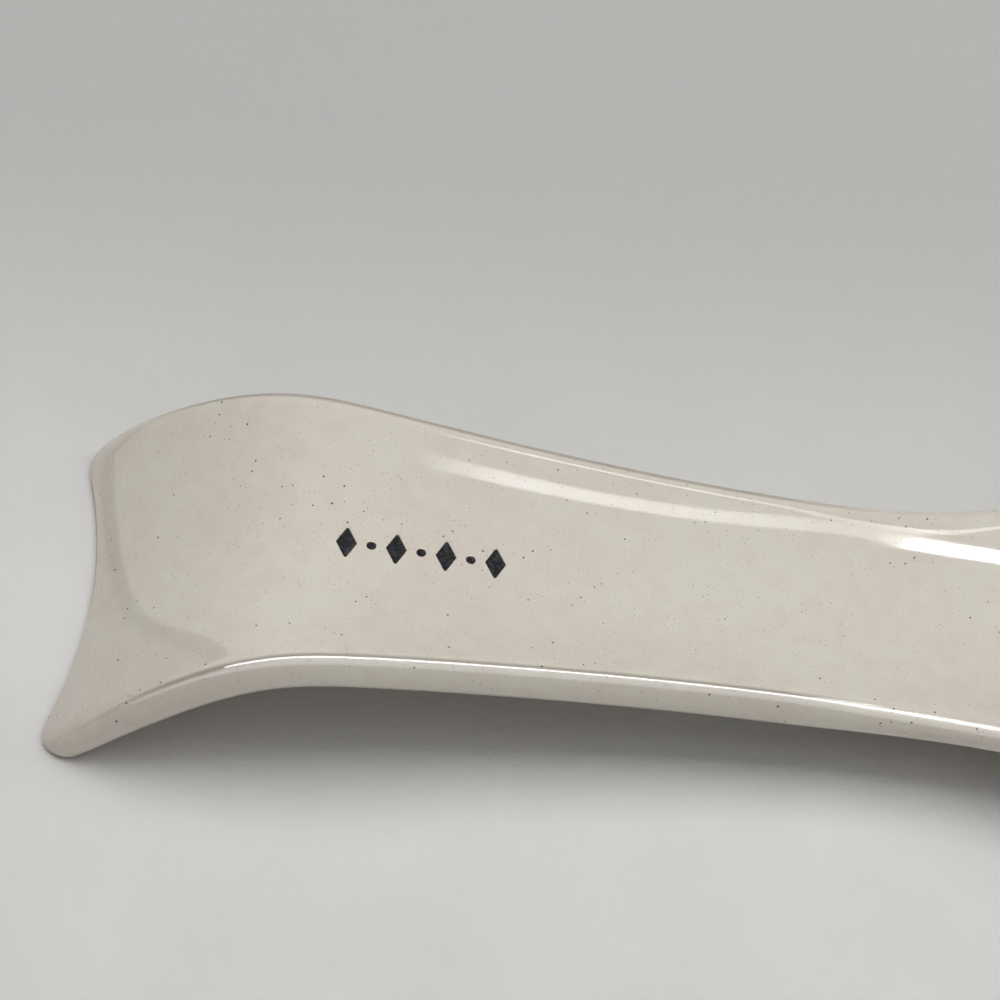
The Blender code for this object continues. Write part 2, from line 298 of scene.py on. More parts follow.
@dataclass(frozen=True)
class SpeckledGlaze(Finish):
    """Cream stoneware glaze, dipped and fired until it flowed level.

    A glossy glass with clouds of cream and pale pink, darker where it runs thin over an edge and the clay
    shows through, greener where it pools, and freckled with iron from the clay. Its surface is level but
    for slow waves and a faint orange peel.

    Attributes:
        cream: Colour of the glaze at its usual thickness.
        blush: Colour of the clouds where the clay warms it.
        thin: Colour where the glaze runs thin over an edge.
        pool: Colour where the glaze lies thick in a hollow.
        cloud_mm: Size of the clouds.
        mottle_mm: Size of the fine mottle inside the clouds.
        peel_mm: Size of the orange peel.
        peel_um: Height of the orange peel.
        wave_mm: Size of the slow waves that the brushed slab keeps under the glaze.
        wave_um: Height of those waves.
        gloss: Least and greatest roughness.
        specks: Layers of iron grains, from the deepest to the ones on top.
        MOTTLE_SHARE: Share of the mottle in the clouds.
        WARM_SPAN: Levels of the clouds where the blush begins and is full.
        EDGE_BEND: Bends, in 1/mm, where the glaze begins to thin and is thinnest.
        POOL_BEND: Bends, in 1/mm, where the glaze begins to pool and is thickest.
    """

    MOTTLE_SHARE: ClassVar[float] = 0.45
    WARM_SPAN: ClassVar[tuple[float, float]] = (0.40, 0.62)
    EDGE_BEND: ClassVar[tuple[float, float]] = (0.22, 0.46)
    POOL_BEND: ClassVar[tuple[float, float]] = (-0.005, -0.05)

    cream: str
    blush: str
    thin: str
    pool: str
    cloud_mm: float
    mottle_mm: float
    peel_mm: float
    peel_um: float
    wave_mm: float
    wave_um: float
    gloss: tuple[float, float]
    specks: tuple[Specks, ...]

    def surface(self, tree: NodeTree, place: Socket) -> Inputs:
        """Adds the colour, the waves, the orange peel and the gloss of the glaze.

        Args:
            tree: Node tree of the material.
            place: Socket that gives the place on the object.

        Returns:
            What feeds the shader.
        """
        wave = add_node(tree, "TexNoise", {"Vector": place, "Scale": per_mm(self.wave_mm)})
        peel = add_node(tree, "TexNoise", {"Vector": place, "Scale": per_mm(self.peel_mm)})
        slow = add_node(tree, "Bump", {"Height": wave.outputs[0], "Distance": self.wave_um * UM})
        fine = add_node(
            tree,
            "Bump",
            {"Height": peel.outputs[0], "Distance": self.peel_um * UM, "Normal": slow.outputs[0]},
        )
        least, most = self.gloss
        gloss = add_node(tree, "MapRange", {"Value": peel.outputs[0], "To Min": least, "To Max": most})
        return {
            "Base Color": layered(tree, self.cream, self.coats(tree, place)),
            "Normal": fine.outputs[0],
            "Roughness": gloss.outputs["Result"],
        }

    def coats(self, tree: NodeTree, place: Socket) -> Iterator[tuple[Socket, str]]:
        """Finds what colours the cream: its clouds, its thin edges, its pools and its specks.

        Args:
            tree: Node tree of the material.
            place: Socket that gives the place on the object.

        Yields:
            Socket of how far a coat hides what lies under it, and the coat's colour.
        """
        clouds = add_node(
            tree, "TexNoise", {"Vector": place, "Scale": per_mm(self.cloud_mm), "Detail": 4.0}
        )
        mottle = add_node(
            tree, "TexNoise", {"Vector": place, "Scale": per_mm(self.mottle_mm), "Detail": 3.0}
        )
        both = add_node(
            tree,
            "Mix",
            {
                "Factor": self.MOTTLE_SHARE,
                FIRST_NUMBER: clouds.outputs[0],
                SECOND_NUMBER: mottle.outputs[0],
            },
            data_type="FLOAT",
        )
        begins, full = self.WARM_SPAN
        warm = add_node(
            tree,
            "MapRange",
            {"Value": both.outputs[MIXED_NUMBER], "From Min": begins, "From Max": full},
            interpolation_type="SMOOTHSTEP",
        )
        yield warm.outputs["Result"], self.blush
        bend = add_node(tree, "Attribute", attribute_name=GlazeCoat.BEND).outputs["Fac"]
        for (begins, full), colour in ((self.EDGE_BEND, self.thin), (self.POOL_BEND, self.pool)):
            share = add_node(tree, "MapRange", {"Value": bend, "From Min": begins, "From Max": full})
            yield share.outputs["Result"], colour
        for layer in self.specks:
            yield layer.cover(tree, place), layer.colour


@dataclass(frozen=True)
class FiredClay(Finish):
    """Unglazed stoneware or slip, sponged and fired.

    A matt clay, browned in patches and peppered with dark grit, with the fine tooth that the sponge left.

    Attributes:
        buff: Colour of the clay.
        toast: Colour where the kiln browned it.
        grit: Colour of the dark grit.
        toast_mm: Size of the browned patches.
        grit_mm: Distance between two grains of grit.
        tooth_mm: Size of the tooth that the sponge left.
        tooth_um: Height of that tooth.
        rough: Least and greatest roughness.
        GRIT_EDGE: Radius of a grain of grit, as a share of the distance between two.
        GRIT_CORE: Radius within which it is as dark as its middle, as such a share.
        GRIT_COVER: How far a grain hides the clay around it.
    """

    GRIT_EDGE: ClassVar[float] = 0.30
    GRIT_CORE: ClassVar[float] = 0.18
    GRIT_COVER: ClassVar[float] = 0.6

    buff: str
    toast: str
    grit: str
    toast_mm: float
    grit_mm: float
    tooth_mm: float
    tooth_um: float
    rough: tuple[float, float]

    def surface(self, tree: NodeTree, place: Socket) -> Inputs:
        """Adds the toasted patches, the grit and the tooth of the clay.

        Args:
            tree: Node tree of the material.
            place: Socket that gives the place on the object.

        Returns:
            What feeds the shader.
        """
        patches = add_node(
            tree, "TexNoise", {"Vector": place, "Scale": per_mm(self.toast_mm), "Detail": 4.0}
        )
        begins, full = NOISE_SPAN
        toasted = add_node(
            tree, "MapRange", {"Value": patches.outputs[0], "From Min": begins, "From Max": full}
        )
        grains = add_node(tree, "TexVoronoi", {"Vector": place, "Scale": per_mm(self.grit_mm)})
        gritty = add_node(
            tree,
            "MapRange",
            {
                "Value": grains.outputs["Distance"],
                "From Min": self.GRIT_EDGE,
                "From Max": self.GRIT_CORE,
                "To Max": self.GRIT_COVER,
            },
        )
        coats = [(toasted.outputs["Result"], self.toast), (gritty.outputs["Result"], self.grit)]
        tooth = add_node(
            tree, "TexNoise", {"Vector": place, "Scale": per_mm(self.tooth_mm), "Detail": 3.0}
        )
        bump = add_node(tree, "Bump", {"Height": tooth.outputs[0], "Distance": self.tooth_um * UM})
        least, most = self.rough
        rough = add_node(tree, "MapRange", {"Value": tooth.outputs[0], "To Min": least, "To Max": most})
        return {
            "Base Color": layered(tree, self.buff, coats),
            "Normal": bump.outputs[0],
            "Roughness": rough.outputs["Result"],
        }


@dataclass(frozen=True)
class Underglaze(Finish):
    """Black ceramic colour, rubbed into a stamped mark and fired under a clear skin of glaze.

    Nearly black and glossy, with faint blue-grey patches where the rubbing left it thin.

    Attributes:
        black: Colour where it lies thick.
        worn: Colour where it lies thin.
        patch_mm: Size of the thin patches.
        gloss: Least and greatest roughness.
        WORN_SPAN: Levels of the patches where the colour begins to thin and is thinnest.
    """

    WORN_SPAN: ClassVar[tuple[float, float]] = (0.45, 0.75)

    black: str
    worn: str
    patch_mm: float
    gloss: tuple[float, float]

    def surface(self, tree: NodeTree, place: Socket) -> Inputs:
        """Adds the thin patches and the gloss of the colour.

        Args:
            tree: Node tree of the material.
            place: Socket that gives the place on the object.

        Returns:
            What feeds the shader.
        """
        patches = add_node(
            tree, "TexNoise", {"Vector": place, "Scale": per_mm(self.patch_mm), "Detail": 3.0}
        )
        begins, full = self.WORN_SPAN
        worn = add_node(
            tree, "MapRange", {"Value": patches.outputs[0], "From Min": begins, "From Max": full}
        )
        least, most = self.gloss
        gloss = add_node(
            tree, "MapRange", {"Value": patches.outputs[0], "To Min": least, "To Max": most}
        )
        return {
            "Base Color": layered(tree, self.black, [(worn.outputs["Result"], self.worn)]),
            "Roughness": gloss.outputs["Result"],
        }


@dataclass(frozen=True)
class PlasterTop(Finish):
    """Pale, finely trowelled plaster: the plain floor under the piece.

    Attributes:
        pale: Colour of the plaster.
        shade: Colour of its faint clouds.
        back: Colour of the plaster behind the piece: painted shade, standing in for the light falling off
            towards the back of the table.
        back_shade_span: Places across the table where the grey begins and is full.
        cloud_mm: Size of the clouds.
        grain_mm: Size of the grain.
        grain_um: Height of the grain.
        roughness: Roughness of the plaster.
    """

    pale: str
    shade: str
    back: str
    back_shade_span: tuple[float, float]
    cloud_mm: float
    grain_mm: float
    grain_um: float
    roughness: float

    def surface(self, tree: NodeTree, place: Socket) -> Inputs:
        """Adds the clouds, the painted shade towards the back and the grain of the plaster.

        Args:
            tree: Node tree of the material.
            place: Socket that gives the place on the floor.

        Returns:
            What feeds the shader.
        """
        clouds = add_node(
            tree, "TexNoise", {"Vector": place, "Scale": per_mm(self.cloud_mm), "Detail": 6.0}
        )
        # Painted shade: the plaster darkens towards the back of the table, standing in for the light that
        # falls off there.
        across = add_node(tree, "SeparateXYZ", {"Vector": place})
        begins, full = self.back_shade_span
        grey = add_node(
            tree,
            "MapRange",
            {"Value": across.outputs["Y"], "From Min": begins, "From Max": full},
            interpolation_type="SMOOTHSTEP",
        )
        coats = [(clouds.outputs[0], self.shade), (grey.outputs["Result"], self.back)]
        grain = add_node(
            tree, "TexNoise", {"Vector": place, "Scale": per_mm(self.grain_mm), "Detail": 4.0}
        )
        bump = add_node(tree, "Bump", {"Height": grain.outputs[0], "Distance": self.grain_um * UM})
        return {
            "Base Color": layered(tree, self.pale, coats),
            "Normal": bump.outputs[0],
            "Roughness": self.roughness,
        }


CREAM_GLAZE = SpeckledGlaze(
    name="speckled_cream_glaze",
    slot="cream_glaze",
    ior=1.52,
    cream="#cdc8bc",
    blush="#cac1b7",
    thin="#928a7f",
    pool="#c6c4b8",
    cloud_mm=26.0,
    mottle_mm=3.5,
    peel_mm=1.4,
    peel_um=0.8,
    wave_mm=9.0,
    wave_um=5.0,
    gloss=(0.03, 0.07),
    specks=(
        Specks(0.5, 0.16, 0.35, 0.90, 10.0, 0.30, "#8d8479"),
        Specks(0.8, 0.17, 0.30, 0.85, 14.0, 0.62, "#7d7065"),
        Specks(1.6, 0.26, 0.08, 0.60, 22.0, 0.90, "#3f3730"),
    ),
)
BARE_STONEWARE = FiredClay(
    name="bare_buff_stoneware",
    slot="stoneware",
    ior=1.5,
    buff="#b39a7c",
    toast="#94795c",
    grit="#5e4a39",
    toast_mm=9.0,
    grit_mm=0.9,
    tooth_mm=0.45,
    tooth_um=40.0,
    rough=(0.75, 0.95),
)
FIRED_SLIP = FiredClay(
    name="fired_slip",
    slot="slip_clay",
    ior=1.5,
    buff="#a88d70",
    toast="#8a6f54",
    grit="#6b5644",
    toast_mm=5.0,
    grit_mm=1.6,
    tooth_mm=0.7,
    tooth_um=25.0,
    rough=(0.70, 0.92),
)
BLACK_INLAY = Underglaze(
    name="glossy_black_underglaze",
    slot="black_underglaze",
    ior=1.5,
    black="#1d1c20",
    worn="#3a383e",
    patch_mm=0.8,
    gloss=(0.14, 0.30),
)
PALE_PLASTER = PlasterTop(
    name="pale_plaster_floor",
    slot="",
    ior=1.45,
    pale="#c5c4c1",
    shade="#bab9b6",
    # Painted shade: the plaster behind the piece is darker, in place of the light falling off at the
    # back.
    back="#a4a3a1",
    back_shade_span=(-0.01, 0.12),
    cloud_mm=24.0,
    grain_mm=2.6,
    grain_um=220.0,
    roughness=0.75,
)


# Meshes


def baked(obj: Object) -> Mesh:
    """Takes an object's mesh as its modifiers leave it, and removes the object.

    Args:
        obj: Object with its modifiers.

    Returns:
        The new mesh.
    """
    graph = bpy.context.evaluated_depsgraph_get()
    mesh = bpy.data.meshes.new_from_object(obj.evaluated_get(graph))
    bpy.data.objects.remove(obj)
    return mesh


def thicken(obj: Object, thickness: float) -> None:
    """Thickens an object's surface inwards, evenly round its bends.

    Args:
        obj: Object that takes the modifier.
        thickness: Thickness of its wall.
    """
    wall = obj.modifiers.new("thicken", "SOLIDIFY")
    wall.thickness = thickness
    wall.offset = -1
    wall.use_even_offset = True


def linked(name: str, mesh: Mesh) -> Object:
    """Links a mesh to the scene as an object.

    Args:
        name: Name of the object.
        mesh: Mesh that it shows.

    Returns:
        The new object.
    """
    made = bpy.data.objects.new(name, mesh)
    bpy.context.scene.collection.objects.link(made)
    return made


def dressed(name: str, mesh: Mesh, finish: Finish, *nodes: str) -> Object:
    """Shows a mesh as a piece that stands for CAD nodes.

    Args:
        name: Name of the piece.
        mesh: Mesh of the piece, in the row frame.
        finish: Finish of its surface.
        nodes: CAD nodes that it replaces.

    Returns:
        The piece, which rides on the body.
    """
    mesh.name = name
    mesh.materials.clear()
    mesh.materials.append(finish.material())
    mesh.shade_smooth()
    mesh.set_sharp_from_angle(angle=SMOOTH_ANGLE)
    piece = linked(name, mesh)
    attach(piece, BODY)
    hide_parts(*nodes)
    return piece


def redressed(node: str, finish: Finish) -> Object:
    """Gives a CAD node that stays in view its finish.

    Args:
        node: Name of the node.
        finish: Finish of its surface.

    Returns:
        The node's object.
    """
    piece = frame["nodes"][node]
    piece.data.materials.clear()
    piece.data.materials.append(finish.material())
    return piece


def lofted(name: str, rings: Sequence[Sequence[Vector]], closed: bool = False) -> Mesh:
    """Skins a stack of rings of equal count into a closed body.

    Args:
        name: Name of the mesh.
        rings: Points of each ring, in turn.
        closed: Whether the last ring joins the first, and otherwise both ends are capped.

    Returns:
        The mesh, facing out.
    """
    work = bmesh.new()
    made = [[work.verts.new(point) for point in ring] for ring in rings]
    pairs = list(zip(made, made[1:] + made[:1] if closed else made[1:]))
    for lower, upper in pairs:
        for first in range(len(lower)):
            last = (first + 1) % len(lower)
            work.faces.new((lower[first], lower[last], upper[last], upper[first]))
    if not closed:
        work.faces.new(made[0])
        work.faces.new(made[-1])
    bmesh.ops.recalc_face_normals(work, faces=work.faces)
    mesh = bpy.data.meshes.new(name)
    work.to_mesh(mesh)
    work.free()
    return mesh


def cut_away(mesh: Mesh, point: Vector, normal: Vector) -> None:
    """Removes what lies on the normal's side of a plane and closes the cut with a flat face.

    Args:
        mesh: Closed mesh that is cut in place.
        point: Point on the plane.
        normal: Normal of the plane.
    """
    work = bmesh.new()
    work.from_mesh(mesh)
    whole = [*work.verts, *work.edges, *work.faces]
    cut = bmesh.ops.bisect_plane(work, geom=whole, plane_co=point, plane_no=normal, clear_outer=True)
    edges = [part for part in cut["geom_cut"] if isinstance(part, bmesh.types.BMEdge)]
    bmesh.ops.edgeloop_fill(work, edges=edges)
    bmesh.ops.recalc_face_normals(work, faces=work.faces)
    work.to_mesh(mesh)
    work.free()


# Form of the slab


class Row(NamedTuple):
    """A row of the cage across the slab.

    Attributes:
        x: Place on the lip line, along the piece.
        z: Height of the lip line there.
        normal_x: Normal of the lip line, along the piece.
        normal_z: Normal of the lip line, upwards.
        half: Half width of the slab.
        fan: Half angle of the row's arc, or 0 for a straight row.
        inset: How far the last column stands in from the edge, as a share of the half row.
    """

    x: float
    z: float
    normal_x: float
    normal_z: float
    half: float
    fan: float
    inset: float


def bezier_line(*knots: tuple[float, float]) -> np.ndarray:
    """Samples joined Bezier spans.

    Args:
        knots: Each span's knot and two handles in turn, with a last knot.

    Returns:
        The points, one a row.
    """
    points: list[Vector] = []
    for first in range(0, len(knots) - 1, 3):
        span = [Vector(knot) for knot in knots[first : first + 4]]
        points.extend(interpolate_bezier(*span, CURVE_STEPS))
    return np.array([tuple(point) for point in points])


def distances(points: np.ndarray) -> np.ndarray:
    """Gives how far along a line each of its points lies."""
    steps = np.linalg.norm(np.diff(points, axis=0), axis=1)
    return np.concatenate([[0.0], np.cumsum(steps)])


def directions(points: np.ndarray) -> np.ndarray:
    """Gives the unit tangent of a line at each of its points."""
    tangent = np.gradient(points, axis=0)
    return tangent / np.linalg.norm(tangent, axis=1)[:, None]


@dataclass(frozen=True)
class SlabForm:
    """The outer form that clay and glaze share: an arched slab that opens into a round dish.

    Attributes:
        toe_x: Place of the toe's outer face in the row frame.
        handle_length: Length from the toe to the dish's rim circle.
        dish_diameter: Diameter of the rim circle.
        toe_width: Width at the toe.
        toe_round: How far the toe's corners are rounded off on each side.
        toe_step: How far up the toe that rounding reaches.
        flare_width: Greatest width of the handle.
        flare_x: Distance from the toe to that width.
        flare_ease: How far the flare stays wide.
        neck_width: Least width of the handle.
        neck_setback: Distance from the neck to the rim circle.
        neck_ease: How far the neck stays narrow.
        join_angle: Place on the rim circle where the neck runs into it.
        crest_height: Height of the lips at the arch's crest.
        crest_x: Distance from the toe to the crest.
        crest_ease: Roundness of the crest.
        low_height: Height of the lips at their lowest, by the neck.
        low_setback: Distance from that low to the rim circle.
        low_ease: Roundness of the low.
        rim_height: Height of the dish's rim.
        rim_ease: Roundness of the lips where they rise to the rim.
        toe_rise: How far the toe rises straight up.
        toe_depth: How far the form runs on below the table before it is cut.
        wall: Thickness of the slab.
        lip: Width of the rounded lip along the handle.
        rim_lip: Width of the rounded lip round the dish.
        toe_lip: Width of the rounded lip at the toe.
        toe_soft: How far up the handle the toe's softer lip reaches.
        tip_trough: Depth of the hollow at the toe.
        crest_trough: Depth of the hollow at the crest.
        neck_trough: Depth of the hollow at the neck.
        floor_radius: Radius of the dish's flat floor.
        floor_height: Height of the floor's upper face.
        blend: Height over which the hollow runs into the dish.
        fan_angle: Half angle of the last row's arc.
        handle_rows: Rows of the cage along the handle.
        dish_rows: Rows of the cage along the dish.
        columns: Columns of the cage.
        widest_inset: Greatest inset of a row's last column.
        level: Subdivision level of the skin.
        draw_in: Scale that keeps the finely subdivided skin inside the box of the coarse CAD skin.
    """

    toe_x: float
    handle_length: float = 0.162
    dish_diameter: float = 0.094
    toe_width: float = 0.0626
    toe_round: float = 0.0043
    toe_step: float = 0.0046
    flare_width: float = 0.0611
    flare_x: float = 0.0097
    flare_ease: float = 0.0002
    neck_width: float = 0.0399
    neck_setback: float = 0.044
    neck_ease: float = 0.0480
    join_angle: float = math.radians(136)
    crest_height: float = 0.0247
    crest_x: float = 0.0376
    crest_ease: float = 0.0105
    low_height: float = 0.0154
    low_setback: float = 0.011
    low_ease: float = 0.0358
    rim_height: float = 0.0180
    rim_ease: float = 0.015
    toe_rise: float = 0.0048
    toe_depth: float = 0.0018
    wall: float = 0.0061
    lip: float = 0.0020
    rim_lip: float = 0.0053
    toe_lip: float = 0.0080
    toe_soft: float = 0.028
    tip_trough: float = 0.0042
    crest_trough: float = 0.0064
    neck_trough: float = 0.0047
    floor_radius: float = 0.028
    floor_height: float = 0.0075
    blend: float = 0.007
    fan_angle: float = math.radians(50)
    handle_rows: int = 12
    dish_rows: int = 11
    columns: int = 8
    widest_inset: float = 0.35
    level: int = 3
    draw_in: tuple[float, float, float] = (0.9964, 0.9985, 0.9964)

    @property
    def dish_radius(self) -> float:
        """Radius of the rim circle."""
        return self.dish_diameter / 2

    @property
    def dish_x(self) -> float:
        """Distance from the toe to the dish's centre."""
        return self.handle_length + self.dish_radius

    @property
    def neck_x(self) -> float:
        """Distance from the toe to the neck."""
        return self.handle_length - self.neck_setback

    @property
    def low_x(self) -> float:
        """Distance from the toe to the low of the lips."""
        return self.handle_length - self.low_setback

    @property
    def edge_drop(self) -> float:
        """How far subdividing the cage draws its upper edge down."""
        return self.wall / 6

    def lip_line(self) -> np.ndarray:
        """Draws the lips seen from the side, up over the crest and down to the neck and the rim.

        Returns:
            Points of the line, along the piece and up.
        """
        crest = self.crest_height + self.edge_drop
        low = self.low_height + self.edge_drop
        rim = self.rim_height + self.edge_drop
        return bezier_line(
            (0, -self.toe_depth),
            (0, self.toe_rise),
            (self.crest_x - self.crest_ease, crest),
            (self.crest_x, crest),
            (self.crest_x + self.crest_ease, crest),
            (self.low_x - self.low_ease, low),
            (self.low_x, low),
            (self.low_x + self.rim_ease, low),
            (self.dish_x - self.rim_ease, rim),
            (self.dish_x, rim),
        )

    def handle_outline(self) -> np.ndarray:
        """Draws half of the handle's plan, from the toe out to the flare and in to the neck.

        Returns:
            Points of the outline, along the piece and across it.
        """
        flare = self.flare_width / 2
        neck = self.neck_width / 2
        return bezier_line(
            (0, self.toe_width / 2),
            (self.flare_x / 2, flare),
            (self.flare_x / 2, flare),
            (self.flare_x, flare),
            (self.flare_x + self.flare_ease, flare),
            (self.neck_x - self.neck_ease, neck),
            (self.neck_x, neck),
        )

    def dish_outline(self) -> np.ndarray:
        """Draws half of the dish's plan, from the neck out and round to where the end row fans.

        Returns:
            Points of the outline, along the piece and across it.
        """
        turn = np.linspace(self.join_angle, self.fan_angle, CURVE_STEPS)
        arc = self.dish_radius * np.stack([np.cos(turn), np.sin(turn)], axis=1) + (self.dish_x, 0)
        join = arc[0]
        along = np.array([math.sin(self.join_angle), -math.cos(self.join_angle)])
        reach = (join[0] - self.neck_x) / 2
        neck = bezier_line(
            (self.neck_x, self.neck_width / 2),
            (self.neck_x + reach, self.neck_width / 2),
            tuple(join - along * reach / 2),
            tuple(join),
        )
        return np.concatenate([neck, arc[1:]])

    def dish_height(self, radius: float) -> float:
        """Gives the dish's upper face: a flat floor and a wall that steepens out to the rim."""
        share = max(0.0, radius - self.floor_radius) / (self.dish_radius - self.floor_radius)
        return self.floor_height + (self.rim_height + self.edge_drop - self.floor_height) * share**2

    def smooth_min(self, first: float, second: float) -> float:
        """Gives the lower of two heights, eased where they cross."""
        ease = max(0.0, self.blend - abs(first - second)) / self.blend
        return min(first, second) - ease**3 * self.blend / 6

    def rows(self) -> list[Row]:
        """Lays the rows of the cage, straight along the handle and then fanning out over the dish.

        Returns:
            The rows from the toe to the far end of the dish.
        """
        line, plan = self.lip_line(), self.handle_outline()
        along, tangent = distances(line), directions(line)
        neck = np.interp(self.neck_x, line[:, 0], along)
        rows = []
        for station in (0.0, *np.linspace(self.toe_step, neck, self.handle_rows)):
            x, z, tx, tz = (np.interp(station, along, part) for part in (*line.T, *tangent.T))
            corner = self.toe_round * max(0.0, 1 - station / self.toe_step)
            half = np.interp(x, plan[:, 0], plan[:, 1]) - corner
            lip = np.interp(station, (0, self.toe_soft), (self.toe_lip, self.lip))
            rows.append(Row(x, z, -tz, tx, half, 0.0, lip / half))

        plan = self.dish_outline()
        along, tangent = distances(plan), directions(plan)
        stations = np.linspace(0, along[-1] - 2 * self.rim_lip, self.dish_rows)
        for station in (*stations[1:], along[-1]):
            x, half, tx, ty = (np.interp(station, along, part) for part in (*plan.T, *tangent.T))
            z = np.interp(x, line[:, 0], line[:, 1])
            fan = self.fan_angle * station / along[-1]
            crossing = math.sin(fan) * ty + math.cos(fan) * tx
            length = half / math.sin(fan) * fan
            lip = np.interp(station, (0, self.neck_setback / 2), (self.lip, self.rim_lip))
            inset = min(lip / max(crossing, lip / length) / length, self.widest_inset)
            rows.append(Row(x, z, 0.0, 1.0, half, fan, inset))
        return rows

    def column_shares(self, row: Row) -> list[float]:
        """Gives the places across a row, as shares of its half length."""
        half = [*np.linspace(0, 1 - row.inset, self.columns // 2), 1.0]
        return [-share for share in half[:0:-1]] + half

    def upper_point(self, row: Row, share: float) -> Vector:
        """Finds a point of the slab's upper face.

        Args:
            row: Row of the cage.
            share: Place across the row, as a share of its half length.

        Returns:
            The point, in the row frame.
        """
        x, y = row.x, share * row.half
        channel = row.half
        if row.fan:
            radius = row.half / math.sin(row.fan)
            x += radius * (math.cos(share * row.fan) - math.cos(row.fan))
            y = radius * math.sin(share * row.fan)
            channel = self.neck_width / 2
        depth = np.interp(
            x, (0, self.crest_x, self.neck_x), (self.tip_trough, self.crest_trough, self.neck_trough)
        )
        sag = depth * (1 - (y / channel) ** 2)
        x -= row.normal_x * sag
        z = row.z - row.normal_z * sag
        dish = self.dish_height(math.hypot(x - self.dish_x, y))
        height = self.smooth_min(dish, z) if x < self.dish_x else dish
        return Vector((x + self.toe_x, y, height))

    def mesh(self) -> Mesh:
        """Builds the closed skin of the form: a grid bent to the upper face, thickened and subdivided.

        Returns:
            The mesh, in the row frame.
        """
        rows = self.rows()
        grid = bmesh.new()
        bmesh.ops.create_grid(grid, x_segments=len(rows) - 1, y_segments=self.columns, size=1)
        for vertex in grid.verts:
            row = rows[round((vertex.co.x + 1) / 2 * (len(rows) - 1))]
            column = round((vertex.co.y + 1) / 2 * self.columns)
            vertex.co = self.upper_point(row, self.column_shares(row)[column])
        cage = bpy.data.meshes.new("cage")
        grid.to_mesh(cage)
        grid.free()
        form = linked("form", cage)
        thicken(form, self.wall)
        soften = form.modifiers.new("soften", "SUBSURF")
        soften.levels = soften.render_levels = self.level
        skin = baked(form)
        skin.transform(Matrix.Diagonal((*self.draw_in, 1.0)))
        return skin


# Sub-assemblies


@dataclass
class ClayBody:
    """The bare clay: handle and dish, luted with slip on a scarf joint at the neck.

    Attributes:
        form: Outer form of the glazed piece.
        bury: How far the clay lies inside that form, so that the glaze laps it.
        seat: Half of the scarf joint's gap.
        scarf_setback: Distance from the scarf joint to the rim circle.
        scarf_angle: Slope of the scarf joint.
    """

    form: SlabForm
    bury: float = 0.00045
    seat: float = 0.0006
    scarf_setback: float = 0.003
    scarf_angle: float = math.radians(45)

    def build(self) -> Iterator[Object]:
        """Builds and dresses the clay.

        Yields:
            Each piece in turn.
        """
        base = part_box("dish")[0].z
        handle = self.cut_slab(toward_dish=True)
        cut_away(handle, Vector(), -UP)
        yield dressed("handle_clay", handle, BARE_STONEWARE, "handle")
        dish = self.cut_slab(toward_dish=False)
        cut_away(dish, UP * base, -UP)
        yield dressed("dish_clay", dish, BARE_STONEWARE, "dish")
        yield redressed("neck_slip", FIRED_SLIP)

    def cut_slab(self, toward_dish: bool) -> Mesh:
        """Draws the form in under the glaze and cuts it at the scarf joint.

        Args:
            toward_dish: Whether the side towards the dish is cut away.

        Returns:
            The clay on the other side.
        """
        core = linked("core", self.form.mesh())
        shrink = core.modifiers.new("shrink", "DISPLACE")
        shrink.strength = -self.bury
        shrink.mid_level = 0
        clay = baked(core)
        normal = Vector((math.sin(self.scarf_angle), 0, -math.cos(self.scarf_angle)))
        outward = normal if toward_dish else -normal
        scarf_x = self.form.toe_x + self.form.handle_length - self.scarf_setback
        point = Vector((scarf_x, 0, self.form.low_height)) - outward * self.seat
        cut_away(clay, point, outward)
        return clay


